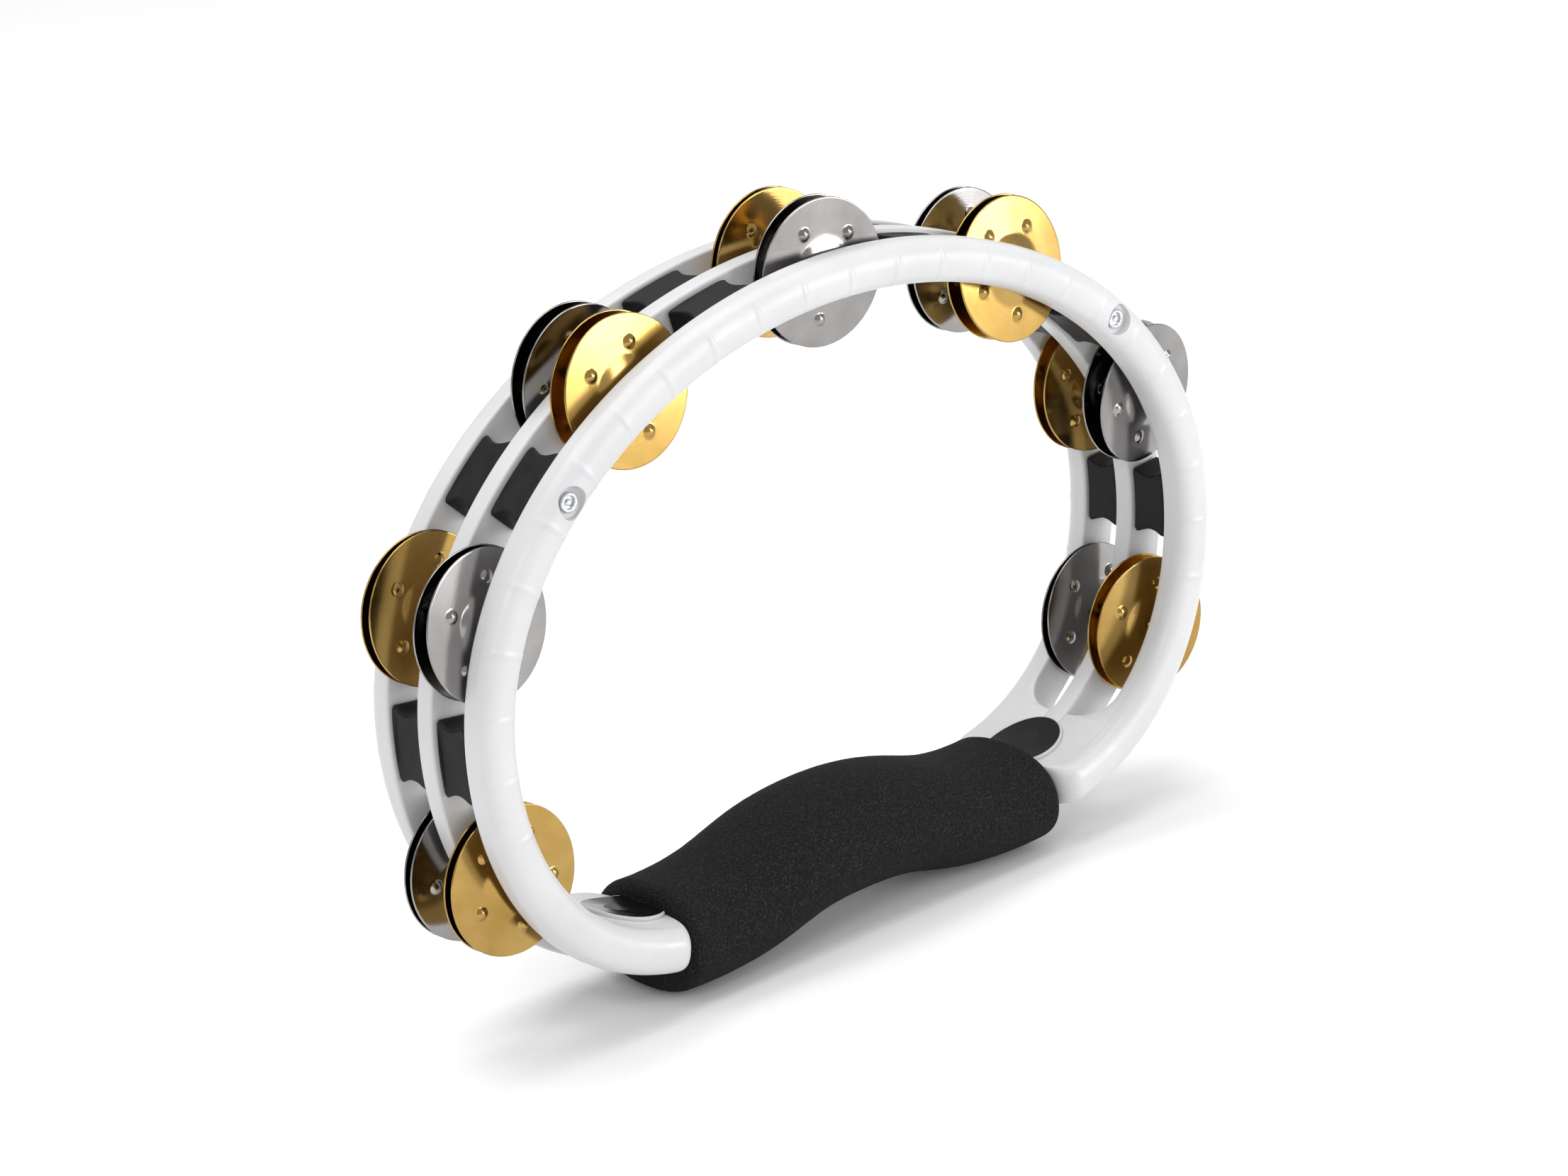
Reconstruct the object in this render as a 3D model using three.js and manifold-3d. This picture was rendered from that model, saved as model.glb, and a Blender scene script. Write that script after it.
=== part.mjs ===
// A handheld tambourine: a D-shaped plastic frame made of three mouldings, two rows of loose
// jingle pairs on steel pins, black spacers, two clamp screws and a foam grip along the bottom.
// Millimetres. X runs left to right, Y along the jingle pins (the front is -Y) and Z is up.
// The origin lies under the middle of the grip, on the surface the grip stands on.
import * as THREE from 'three';
import { mergeVertices } from 'three/addons/utils/BufferGeometryUtils.js';
import Module from 'manifold-3d';

// Frame centreline, in the XZ plane: a half ellipse, then a tucked-in corner and a raised bottom
const ARCH_HALF_WIDTH = 121.7;
const ARCH_RISE = 89.7;
const ARCH_FOOT_Z = 84;
const CORNER_X = 57;
const CORNER_Z = 16.4;
const CORNER_SIDE_PULL = 38;
const CORNER_BASE_PULL = 40;
const BOTTOM_MIDDLE_Z = 24.1;

// Frame mouldings: distances along Y from the middle plane, and half heights across the bar
const PLATE_HALF = 2.8;
const SLOT_WIDTH = 11.55;
const RAIL_WALL = PLATE_HALF + SLOT_WIDTH;
const RAIL_FACE = 23;
const RAIL_ROUNDING = 5.74;
const BAR_HALF = 5.75;
const PLATE_HALF_HEIGHT = 6.1;
const SEAM_GAP = 0.3;
const SEAM = PLATE_HALF + SEAM_GAP;
const CORE_FACE = 14.4;
const EDGE_BREAK = 0.8;
const FACET_ANGLE = 80;
const RAIL_SQUARENESS = 2.4;

// Places along the centreline: distances from the top, or from the bottom middle for the grip
const PAIR_PITCH = 68.06;
const PAIRS_PER_ROW = 7;
const SPACER_PLACES = [0.5, 1.5, 2.484];
const SLOT_TIP = 239;
const GRIP_HALF_LENGTH = 66;
const SHOULDER_START = GRIP_HALF_LENGTH + 0.8;
const SHOULDER_END = GRIP_HALF_LENGTH + 6.6;

// Jingles: dished discs with a raised bell, in facing pairs
const JINGLE_RADIUS = 19;
const JINGLE_HOLE = 1.75;
const SHEET = 0.6;
const DISH = 0.9;
const BELL_RISE = 1.5;
const BELL_RADIUS = 5.8;
const BELL_FOOT = 8.8;
const JINGLE_SIDES = 16;

// How each loose jingle rests: its rim's place along Y from the row's middle, in mm, and its leans
// about X and Z, in degrees
const RESTS = {
  front_fore: [
    [-1.3, 0, -0.8], [-2.8, -4.4, 3.7], [-2.9, -6, -0.9], [-3, 1.7, -4.2],
    [-2.9, -5.5, 1.9], [-2, 6, 5], [-1.2, 0, -4.9],
  ],
  front_aft: [
    [1.2, 1, 0], [1, 0, 1], [2.6, -1, 0.5], [1, 1, 0],
    [0.6, -1, -0.5], [2.6, 0.5, 1], [3, 0, -1],
  ],
  back_fore: [
    [-3.2, 1, -1.5], [1.6, -2.2, 3], [-2.9, 3, 3], [-2.6, -1.5, -1],
    [-3.1, -2, 1], [-0.9, 2.5, -3], [1.6, -4, 0.2],
  ],
  back_aft: [
    [-0.6, 0.5, 0.5], [3.4, 0.5, 0], [0, -0.5, 0.5], [-0.6, 0.5, 0],
    [-1, 0, 0.5], [3.4, 0.5, 0.5], [3.4, 0, -0.5],
  ],
};

// Pins, screws and the holes that take them
const PIN_RADIUS = 1.25;
const PIN_HALF_LENGTH = 19.5;
const PIN_HOLE = 1.6;
const PIN_HOLE_END = 19.9;
const SCREW_PLACE = 1.5 * PAIR_PITCH;
const SCREW_SHANK = 1.4;
const SCREW_HOLE = 1.7;
const SCREW_HEAD = 2.55;
const SCREW_HEAD_FACE = 21.4;
const SCREW_HEAD_SEAT = 20.8;
const SCREW_TIP = 19;
const SCREW_POCKET = 4.1;

// Spacers, badges and grip
const SPACER_HALF_LENGTH = 10.3;
const SPACER_SCOOP = 2.2;
const SPACER_HALF_HEIGHT = 4.95;
const SPACER_HALF_WIDTH = SLOT_WIDTH / 2 - SEAM_GAP;
const ROW_OFFSET = PLATE_HALF + SLOT_WIDTH / 2;
const BADGE_HALF_LENGTH = 13.4;
const BADGE_HALF_WIDTH = 10.4;
const BADGE_THICKNESS = 0.8;
const BADGE_CENTRE = 74;
const GRIP_HALF_DEPTH = 20.4;
const GRIP_MIDDLE_HALF_HEIGHT = 15.3;
const GRIP_MIDDLE_DROP = 1.9;
const GRIP_END_HALF_HEIGHT = 14;
const GRIP_END_DROP = CORNER_Z - GRIP_END_HALF_HEIGHT;
const GRIP_END_ROUNDING = 3.5;
const GRIP_BORE_HALF_DEPTH = 14.9;
const GRIP_BORE_HALF_HEIGHT = 6.25;
const GRIP_ANGLES = [13, 35, 57, 79, 101, 123, 145, 167];

const MATERIALS = {
  white: { color: 0xe4e4e6, roughness: 0.35, metalness: 0 },
  black: { color: 0x1c1c1e, roughness: 0.6, metalness: 0 },
  badge: { color: 0x0c0c0e, roughness: 0.15, metalness: 0 },
  foam: { color: 0x17171a, roughness: 0.95, metalness: 0 },
  brass: { color: 0xc79a3e, roughness: 0.25, metalness: 1 },
  steel: { color: 0xb9bbbf, roughness: 0.2, metalness: 1 },
};

const wasm = await Module();
wasm.setup();

const tambourine = new THREE.Group();

function addPart(name, geometry, material, parent = tambourine) {
  const part = new THREE.Mesh(geometry, new THREE.MeshStandardMaterial(MATERIALS[material]));
  part.name = name;
  parent.add(part);
  return part;
}

// ---- Centreline ----

const halfRing = new THREE.Path();
halfRing.absellipse(0, ARCH_FOOT_Z, ARCH_HALF_WIDTH, ARCH_RISE, Math.PI / 2, 0, true);
halfRing.bezierCurveTo(
  ARCH_HALF_WIDTH, ARCH_FOOT_Z - CORNER_SIDE_PULL,
  CORNER_X + CORNER_BASE_PULL, CORNER_Z,
  CORNER_X, CORNER_Z,
);
halfRing.bezierCurveTo(CORNER_X / 2, CORNER_Z, CORNER_X / 2, BOTTOM_MIDDLE_Z, 0, BOTTOM_MIDDLE_Z);
const HALF_LENGTH = halfRing.getLength();
const CORNER_RUN = halfRing.curves[2].getLength();

// The centreline point at distance s from the top (right is positive), with its outward normal
function ringAt(s) {
  const fraction = Math.min(Math.abs(s) / HALF_LENGTH, 1);
  const point = halfRing.getPoint(fraction);
  const tangent = halfRing.getTangent(fraction);
  const side = s < 0 ? -1 : 1;
  return { x: side * point.x, z: point.y, outX: side * -tangent.y, outZ: tangent.x };
}

function pointOnBar(s, outward, y) {
  const at = ringAt(s);
  return new THREE.Vector3(at.x + at.outX * outward, y, at.z + at.outZ * outward);
}

// Puts a part modelled with +X along the bar and +Z outward at distance s from the top
function placeOnRing(part, s, y) {
  const at = ringAt(s);
  part.position.set(at.x, y, at.z);
  part.rotation.y = Math.atan2(at.outX, at.outZ);
}

// ---- Solids ----

// A closed surface through rings of equal point counts: an endless loop, or a capped tube
function loft(rings, endless) {
  const around = rings[0].length;
  const positions = rings.flat().flatMap((point) => [point.x, point.y, point.z]);
  const triangles = [];
  const spans = endless ? rings.length : rings.length - 1;
  for (let ring = 0; ring < spans; ring++) {
    const next = (ring + 1) % rings.length;
    for (let i = 0; i < around; i++) {
      const j = (i + 1) % around;
      const [a, b] = [ring * around + i, ring * around + j];
      const [c, d] = [next * around + i, next * around + j];
      triangles.push(a, b, d, a, d, c);
    }
  }
  if (!endless) {
    const last = (rings.length - 1) * around;
    for (let i = 1; i < around - 1; i++) {
      triangles.push(0, i + 1, i);
      triangles.push(last, last + i, last + i + 1);
    }
  }
  const geometry = new THREE.BufferGeometry();
  geometry.setAttribute('position', new THREE.Float32BufferAttribute(positions, 3));
  geometry.setIndex(triangles);
  return facingOut(geometry);
}

// Turns every face round if the surface encloses a negative volume
function facingOut(geometry) {
  const position = geometry.attributes.position;
  const index = geometry.index.array;
  const corner = [new THREE.Vector3(), new THREE.Vector3(), new THREE.Vector3()];
  let volume = 0;
  for (let i = 0; i < index.length; i += 3) {
    corner.forEach((vertex, k) => vertex.fromBufferAttribute(position, index[i + k]));
    volume += corner[0].dot(corner[1].clone().cross(corner[2]));
  }
  if (volume < 0) {
    for (let i = 0; i < index.length; i += 3) {
      [index[i + 1], index[i + 2]] = [index[i + 2], index[i + 1]];
    }
  }
  return geometry;
}

function toSolid(geometry) {
  const plain = geometry.clone();
  plain.deleteAttribute('normal');
  plain.deleteAttribute('uv');
  const merged = mergeVertices(plain);
  return new wasm.Manifold(new wasm.Mesh({
    numProp: 3,
    vertProperties: new Float32Array(merged.attributes.position.array),
    triVerts: new Uint32Array(merged.index.array),
  }));
}

function cut(geometry, tools) {
  let solid = toSolid(geometry);
  for (const tool of tools) {
    solid = solid.subtract(toSolid(tool));
  }
  const mesh = solid.getMesh();
  const result = new THREE.BufferGeometry();
  result.setAttribute('position', new THREE.BufferAttribute(mesh.vertProperties, 3));
  result.setIndex(new THREE.BufferAttribute(mesh.triVerts, 1));
  return result;
}

// A round tool or rod along Y, between two Y positions, at distance s from the top
function rodAt(s, radius, fromY, toY) {
  const at = ringAt(s);
  const rod = new THREE.CylinderGeometry(radius, radius, toY - fromY, 12);
  rod.translate(at.x, (fromY + toY) / 2, at.z);
  return rod;
}

function superellipse(angle, squareness) {
  const radians = THREE.MathUtils.degToRad(angle);
  const power = 2 / squareness;
  const across = Math.cos(radians);
  const along = Math.sin(radians);
  return [
    Math.sign(across) * Math.abs(across) ** power,
    Math.sign(along) * Math.abs(along) ** power,
  ];
}

// ---- Frame mouldings ----

// Stations down the right side from the top; the left side mirrors them
const openStations = Array.from({ length: 20 }, (_, i) => i * (SLOT_TIP - SLOT_WIDTH) / 20);
const tipStations = [0, 22.5, 45, 67.5, 90].map(
  (angle) => SLOT_TIP - SLOT_WIDTH + SLOT_WIDTH * Math.sin(THREE.MathUtils.degToRad(angle)),
);
const badgeStations = [87, 85, 81, 76].map((t) => HALF_LENGTH - t);
const shoulderStations = [90, 60, 30, 0].map(
  (angle) => HALF_LENGTH - SHOULDER_END
    + (SHOULDER_END - SHOULDER_START) * (1 - Math.sin(THREE.MathUtils.degToRad(angle))),
);
const gripEndStations = [0, 30, 90].map(
  (angle) => GRIP_HALF_LENGTH - GRIP_END_ROUNDING * (1 - Math.sin(THREE.MathUtils.degToRad(angle))),
);
const gripStations = [...gripEndStations, CORNER_RUN, 50, 41, 32, 22, 11, 0].map((t) => HALF_LENGTH - t);
const rightStations = [
  ...openStations, ...tipStations, ...badgeStations, ...shoulderStations, ...gripStations,
].sort((a, b) => a - b);
const leftStations = rightStations.slice(1, -1).reverse().map((s) => -s);
const frameStations = [...rightStations, ...leftStations];

// Where the bar's faces stand at distance s from the top
function slotWall(s) {
  const pastSlot = Math.abs(s) - (SLOT_TIP - SLOT_WIDTH);
  if (pastSlot <= 0) {
    return RAIL_WALL;
  }
  const radius = RAIL_WALL - SEAM;
  const run = Math.min(pastSlot / SLOT_WIDTH, 1);
  return RAIL_WALL - radius + radius * Math.sqrt(1 - run * run);
}

function outerFace(s) {
  const fromBottom = HALF_LENGTH - Math.abs(s);
  const run = (fromBottom - SHOULDER_START) / (SHOULDER_END - SHOULDER_START);
  const rise = Math.sqrt(1 - (1 - THREE.MathUtils.clamp(run, 0, 1)) ** 2);
  return CORE_FACE + (RAIL_FACE - CORE_FACE) * rise;
}

function plateHalfHeight(s) {
  const run = THREE.MathUtils.smoothstep(Math.abs(s), SLOT_TIP - SLOT_WIDTH, SLOT_TIP);
  return THREE.MathUtils.lerp(PLATE_HALF_HEIGHT, BAR_HALF, run);
}

function plateRing(s) {
  const high = plateHalfHeight(s);
  const outline = [
    [high, PLATE_HALF - EDGE_BREAK], [high - EDGE_BREAK, PLATE_HALF],
    [EDGE_BREAK - high, PLATE_HALF], [-high, PLATE_HALF - EDGE_BREAK],
    [-high, EDGE_BREAK - PLATE_HALF], [EDGE_BREAK - high, -PLATE_HALF],
    [high - EDGE_BREAK, -PLATE_HALF], [high, EDGE_BREAK - PLATE_HALF],
  ];
  return outline.map(([outward, y]) => pointOnBar(s, outward, y));
}

// The D section of an outer moulding: flat towards the slot, rounded away from it
function railRing(s, side) {
  const wall = slotWall(s);
  const face = outerFace(s);
  const roundingStart = face - RAIL_ROUNDING;
  const [, facetReach] = superellipse(FACET_ANGLE, RAIL_SQUARENESS);
  const outline = [
    [EDGE_BREAK - BAR_HALF, wall],
    [BAR_HALF - EDGE_BREAK, wall],
    [BAR_HALF, wall + EDGE_BREAK],
  ];
  for (const angle of [0, 30, 55, FACET_ANGLE, 180 - FACET_ANGLE, 125, 150, 180]) {
    const [across, along] = superellipse(angle, RAIL_SQUARENESS);
    outline.push([BAR_HALF * across, roundingStart + RAIL_ROUNDING * along / facetReach]);
  }
  outline.push([-BAR_HALF, wall + EDGE_BREAK]);
  return outline.map(([outward, y]) => pointOnBar(s, outward, side * y));
}

const pairNumbers = Array.from({ length: PAIRS_PER_ROW }, (_, i) => i + 1);
const pairPlace = (number) => (number - (PAIRS_PER_ROW + 1) / 2) * PAIR_PITCH;
const screwPlaces = [-SCREW_PLACE, SCREW_PLACE];
const BEYOND = 2;

function addFrame() {
  const plate = loft(frameStations.map(plateRing), true);
  const plateHoles = [
    ...pairNumbers.map((n) => rodAt(pairPlace(n), PIN_HOLE, -PLATE_HALF - BEYOND, PLATE_HALF + BEYOND)),
    ...screwPlaces.map((s) => rodAt(s, SCREW_HOLE, -PLATE_HALF - BEYOND, PLATE_HALF + BEYOND)),
  ];
  addPart('frame_middle', cut(plate, plateHoles), 'white');

  const front = loft(frameStations.map((s) => railRing(s, -1)), true);
  const frontHoles = [
    ...pairNumbers.map((n) => rodAt(pairPlace(n), PIN_HOLE, -PIN_HOLE_END, -RAIL_WALL + BEYOND)),
    ...screwPlaces.map((s) => rodAt(s, SCREW_HOLE, -RAIL_FACE - BEYOND, -RAIL_WALL + BEYOND)),
    ...screwPlaces.map((s) => rodAt(s, SCREW_POCKET, -RAIL_FACE - BEYOND, SEAM_GAP - SCREW_HEAD_SEAT)),
  ];
  addPart('frame_front', cut(front, frontHoles), 'white');

  const back = loft(frameStations.map((s) => railRing(s, 1)), true);
  const backHoles = [
    ...pairNumbers.map((n) => rodAt(pairPlace(n), PIN_HOLE, RAIL_WALL - BEYOND, PIN_HOLE_END)),
    ...screwPlaces.map((s) => rodAt(s, SCREW_HOLE, RAIL_WALL - BEYOND, SCREW_TIP + SEAM_GAP)),
  ];
  addPart('frame_back', cut(back, backHoles), 'white');
}

// ---- Jingles and their pins ----

// Half section of one disc, rim plane at Y = 0 and bell towards +Y, closed on itself
function jingleGeometry() {
  const outline = [
    [JINGLE_HOLE, BELL_RISE], [BELL_RADIUS - SHEET, BELL_RISE], [BELL_FOOT - SHEET, DISH],
    [JINGLE_RADIUS, 0], [JINGLE_RADIUS, SHEET],
    [BELL_FOOT, DISH + SHEET], [BELL_RADIUS, BELL_RISE + SHEET], [JINGLE_HOLE, BELL_RISE + SHEET],
    [JINGLE_HOLE, BELL_RISE],
  ].map(([radius, y]) => new THREE.Vector2(radius, y));
  return new THREE.LatheGeometry(outline, JINGLE_SIDES);
}

function addJingle(name, number, rowY, facing, [rimPlace, leanX, leanZ], material) {
  const at = ringAt(pairPlace(number));
  const seat = new THREE.Group();
  seat.position.set(at.x, rowY + rimPlace, at.z);
  seat.rotation.set(THREE.MathUtils.degToRad(leanX), 0, THREE.MathUtils.degToRad(leanZ));
  tambourine.add(seat);
  const disc = addPart(name, jingleGeometry(), material, seat);
  disc.rotation.x = facing < 0 ? Math.PI : 0;
}

function addJingles() {
  for (const [row, rowY] of [['front', -ROW_OFFSET], ['back', ROW_OFFSET]]) {
    for (const number of pairNumbers) {
      const material = (number % 2 === 1) === (row === 'front') ? 'brass' : 'steel';
      for (const [half, facing] of [['fore', -1], ['aft', 1]]) {
        const rest = RESTS[`${row}_${half}`][number - 1];
        addJingle(`jingle_${row}_${number}_${half}`, number, rowY, facing, rest, material);
      }
    }
  }
}

function addPins() {
  for (const number of pairNumbers) {
    addPart(`pin_${number}`, rodAt(pairPlace(number), PIN_RADIUS, -PIN_HALF_LENGTH, PIN_HALF_LENGTH), 'steel');
  }
}

// ---- Spacers and screws ----

// Seen from outside the ring: straight walls against the mouldings, ends scooped for the jingles
function spacerGeometry() {
  const control = SPACER_HALF_LENGTH - 2 * SPACER_SCOOP;
  const outline = new THREE.Shape();
  outline.moveTo(-SPACER_HALF_LENGTH, -SPACER_HALF_WIDTH);
  outline.lineTo(SPACER_HALF_LENGTH, -SPACER_HALF_WIDTH);
  outline.quadraticCurveTo(control, 0, SPACER_HALF_LENGTH, SPACER_HALF_WIDTH);
  outline.lineTo(-SPACER_HALF_LENGTH, SPACER_HALF_WIDTH);
  outline.quadraticCurveTo(-control, 0, -SPACER_HALF_LENGTH, -SPACER_HALF_WIDTH);
  const spacer = new THREE.ExtrudeGeometry(outline, {
    depth: 2 * SPACER_HALF_HEIGHT, bevelEnabled: false, curveSegments: 4,
  });
  spacer.translate(0, 0, -SPACER_HALF_HEIGHT);
  return spacer;
}

function drilledSpacerGeometry() {
  const reach = SPACER_HALF_WIDTH + BEYOND;
  const drill = new THREE.CylinderGeometry(SCREW_HOLE, SCREW_HOLE, 2 * reach, 12);
  return cut(spacerGeometry(), [drill]);
}

function addSpacers() {
  const sides = [['left', -1], ['right', 1]];
  const rows = [['front', -ROW_OFFSET], ['back', ROW_OFFSET]];
  for (const [rowName, rowY] of rows) {
    for (const [sideName, side] of sides) {
      for (const place of SPACER_PLACES) {
        const s = side * place * PAIR_PITCH;
        const drilled = Math.abs(s) === SCREW_PLACE;
        const name = `spacer_${rowName}_${sideName}_${SPACER_PLACES.indexOf(place) + 1}`;
        const spacer = addPart(name, drilled ? drilledSpacerGeometry() : spacerGeometry(), 'black');
        placeOnRing(spacer, s, rowY);
      }
    }
  }
}

function screwGeometry() {
  const outline = [
    [0, -SCREW_HEAD_FACE], [SCREW_HEAD, -SCREW_HEAD_FACE], [SCREW_HEAD, -SCREW_HEAD_SEAT],
    [SCREW_SHANK, -SCREW_HEAD_SEAT], [SCREW_SHANK, SCREW_TIP], [0, SCREW_TIP],
  ].map(([radius, y]) => new THREE.Vector2(radius, y));
  return new THREE.LatheGeometry(outline, 12);
}

function addScrews() {
  for (const [name, s] of [['screw_left', -SCREW_PLACE], ['screw_right', SCREW_PLACE]]) {
    const at = ringAt(s);
    addPart(name, screwGeometry(), 'steel').position.set(at.x, 0, at.z);
  }
}

// ---- Badges and grip ----

function badgeRing(s) {
  const fromCentre = (HALF_LENGTH - Math.abs(s) - BADGE_CENTRE) / BADGE_HALF_LENGTH;
  const half = BADGE_HALF_WIDTH * Math.sqrt(1 - fromCentre ** 2);
  const under = -BAR_HALF - SEAM_GAP;
  const over = under - BADGE_THICKNESS;
  return [[under, -half], [under, half], [over, half], [over, -half]].map(
    ([outward, y]) => pointOnBar(s, outward, y),
  );
}

function addBadges() {
  const stations = [...badgeStations, ...shoulderStations].sort((a, b) => a - b);
  addPart('badge_right', loft(stations.map(badgeRing), false), 'badge');
  addPart('badge_left', loft(stations.map((s) => badgeRing(-s)), false), 'badge');
}

// A ring of the sleeve at distance s from the top, flat across its top and underside. It hangs
// further outward than the bar by the drop
function sleeveRing(s, halfHeight, halfDepth, squareness, drop) {
  const angles = [...GRIP_ANGLES, ...GRIP_ANGLES.map((angle) => angle + 180)];
  const [flatReach] = superellipse(GRIP_ANGLES[0], squareness);
  return angles.map((angle) => {
    const [across, along] = superellipse(angle, squareness);
    return pointOnBar(s, drop + halfHeight * across / flatReach, halfDepth * along);
  });
}

// How far the sleeve's outside draws in as it rounds over at its two ends
function endDraw(fromBottom) {
  const run = Math.max(0, fromBottom - (GRIP_HALF_LENGTH - GRIP_END_ROUNDING));
  return GRIP_END_ROUNDING - Math.sqrt(GRIP_END_ROUNDING ** 2 - Math.min(run, GRIP_END_ROUNDING) ** 2);
}

function addGrip() {
  const rightHalf = gripStations.slice().sort((a, b) => a - b);
  const stations = [...rightHalf, ...rightHalf.slice(0, -1).reverse().map((s) => -s)];
  const outside = stations.map((s) => {
    const fromBottom = HALF_LENGTH - Math.abs(s);
    const taper = THREE.MathUtils.smoothstep(fromBottom, 0, CORNER_RUN);
    const halfHeight = THREE.MathUtils.lerp(GRIP_MIDDLE_HALF_HEIGHT, GRIP_END_HALF_HEIGHT, taper);
    const drop = THREE.MathUtils.lerp(GRIP_MIDDLE_DROP, GRIP_END_DROP, taper);
    const draw = endDraw(fromBottom);
    return sleeveRing(s, halfHeight - draw, GRIP_HALF_DEPTH - draw, 2.3, drop);
  });
  const bore = stations.map((s) => sleeveRing(s, GRIP_BORE_HALF_HEIGHT, GRIP_BORE_HALF_DEPTH, 5, 0));
  addPart('grip', loft([...outside, ...bore.reverse()], true), 'foam');
}

addFrame();
addJingles();
addPins();
addSpacers();
addScrews();
addBadges();
addGrip();

export default tambourine;
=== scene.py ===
"""The look of the tambourine: fine surfaces, materials, light and camera for the CAD frame."""
import math

import bpy
import numpy as np
from mathutils import Matrix, Vector, noise


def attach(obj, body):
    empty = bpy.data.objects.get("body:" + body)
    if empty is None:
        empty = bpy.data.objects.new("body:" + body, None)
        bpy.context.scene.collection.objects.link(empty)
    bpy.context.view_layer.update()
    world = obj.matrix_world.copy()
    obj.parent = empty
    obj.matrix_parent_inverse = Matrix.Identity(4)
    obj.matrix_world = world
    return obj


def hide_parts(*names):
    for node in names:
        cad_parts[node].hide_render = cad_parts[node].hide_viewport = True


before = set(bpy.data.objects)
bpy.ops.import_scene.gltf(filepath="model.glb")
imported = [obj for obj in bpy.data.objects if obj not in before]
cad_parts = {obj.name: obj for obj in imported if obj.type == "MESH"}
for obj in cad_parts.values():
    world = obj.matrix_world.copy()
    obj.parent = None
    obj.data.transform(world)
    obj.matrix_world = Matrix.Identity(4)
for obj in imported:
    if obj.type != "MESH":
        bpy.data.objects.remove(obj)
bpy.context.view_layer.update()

MM = 0.001

# Frame centreline in the XZ plane, in millimetres, as the CAD model has it
ARCH_HALF_WIDTH = 121.7
ARCH_RISE = 89.7
ARCH_FOOT_Z = 84.0
CORNER_X = 57.0
CORNER_Z = 16.4
CORNER_SIDE_PULL = 38.0
CORNER_BASE_PULL = 40.0
BOTTOM_MIDDLE_Z = 24.1

# Mouldings: distances along Y from the middle plane, and half heights across the bar
PLATE_HALF = 2.8
SLOT_WIDTH = 11.55
RAIL_WALL = PLATE_HALF + SLOT_WIDTH
RAIL_FACE = 23.0
RAIL_ROUNDING = 5.74
RAIL_SQUARENESS = 2.4
BAR_HALF = 5.75
PLATE_HALF_HEIGHT = 6.1
CORE_FACE = 14.4
SEAM_MIDDLE = PLATE_HALF + 0.15
HAIRLINE = 0.03
OPEN_FILLET = 0.8
SEAM_FILLET = 0.14
CREASE_DEPTH = 0.05
CREASE_LEAD = 0.3
SEAM_FADE = 3.0
RIB_HEIGHT = 0.26
RIB_HALF_WIDTH = 1.35
RIB_PITCH = 15.7
RIBS_EACH_WAY = 12

# Places along the centreline: from the top, or from the bottom middle for the grip and badges
PAIR_COUNT = 7
PAIR_PITCH = 68.06
SLOT_TIP = 239.0
GRIP_HALF_LENGTH = 66.6
SHOULDER_START = 66.8
SHOULDER_END = 72.6

# Jingles
JINGLE_RADIUS = 18.98
JINGLE_HOLE = 1.75
HOLE_EDGE_WIDTH = 0.12
HOLE_EDGE_DROP = 0.1
JINGLE_SHEET = 0.52
JINGLE_DISH = 0.25
BELL_RISE = 1.5
BELL_FULLNESS = 2.6
BELL_FOOT = 9.0
BELL_SOFTNESS = 0.14
BUMPS = 5
BUMP_PLACE = 12.0
BUMP_RADIUS = 1.7
BUMP_HEIGHT = 0.85
HOLLOW_BUMP_RADIUS = BUMP_RADIUS - 0.45
HOLLOW_BUMP_HEIGHT = BUMP_HEIGHT - 0.2
BUMP_STEP = 360 / BUMPS
BUMP_HALF_SECTOR = 9.6
BUMP_MARGIN = 2.0
RIM_ROUNDING = 0.14

# Pins, screws, spacers, badges and grip
PIN_RADIUS = 1.25
PIN_CHAMFER = 0.25
PIN_HALF_LENGTH = 19.5
PIN_HOLE = 1.34
PIN_HOLE_END = 19.9
SCREW_PLACE = 1.5 * PAIR_PITCH
SCREW_HEAD = 2.55
SCREW_FACE = 21.4
SCREW_SEAT = 20.8
SCREW_SHANK = 1.4
SCREW_TIP = 19.0
SCREW_HOLE = SCREW_SHANK + 0.1
SCREW_HOLE_END = SCREW_TIP + 0.3
PLATE_BORE_HALF_LENGTH = 8
POCKET_RADIUS = 4.1
POCKET_FLOOR = 20.55
POCKET_FILLET = 0.35
POCKET_DRAFT = 0.12
TOOL_OVERRUN = 2
SPACER_PLACES = (0.5, 1.5, 2.484)
SPACER_HALF_LENGTH = 10.25
SPACER_SCOOP = 2.2
SPACER_HALF_HEIGHT = 4.92
SPACER_HALF_WIDTH = 5.45
SPACER_ROUNDING = 0.7
SPACER_CORNER = 1.7
ROW_OFFSET = PLATE_HALF + SLOT_WIDTH / 2
BADGE_HALF_LENGTH = 13.4
BADGE_HALF_WIDTH = 10.4
BADGE_CENTRE = 74.0
BADGE_UNDER = 5.8
BADGE_THICKNESS = 0.9
BADGE_GAP = 0.05
BADGE_BEVEL = 0.25
BADGE_LINE_WIDTH = 0.5
GRIP_HALF_DEPTH = 20.4
GRIP_MIDDLE_HALF_HEIGHT = 15.3
GRIP_END_HALF_HEIGHT = 14.0
GRIP_END_ROUNDING = 3.5
GRIP_MIDDLE_DROP = 1.9
GRIP_END_DROP = CORNER_Z - GRIP_END_HALF_HEIGHT
GRIP_BORE_HALF_DEPTH = 14.5
GRIP_BORE_HALF_HEIGHT = 5.85
GRIP_SQUARENESS = 2.3
BORE_SQUARENESS = 5.0

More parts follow.
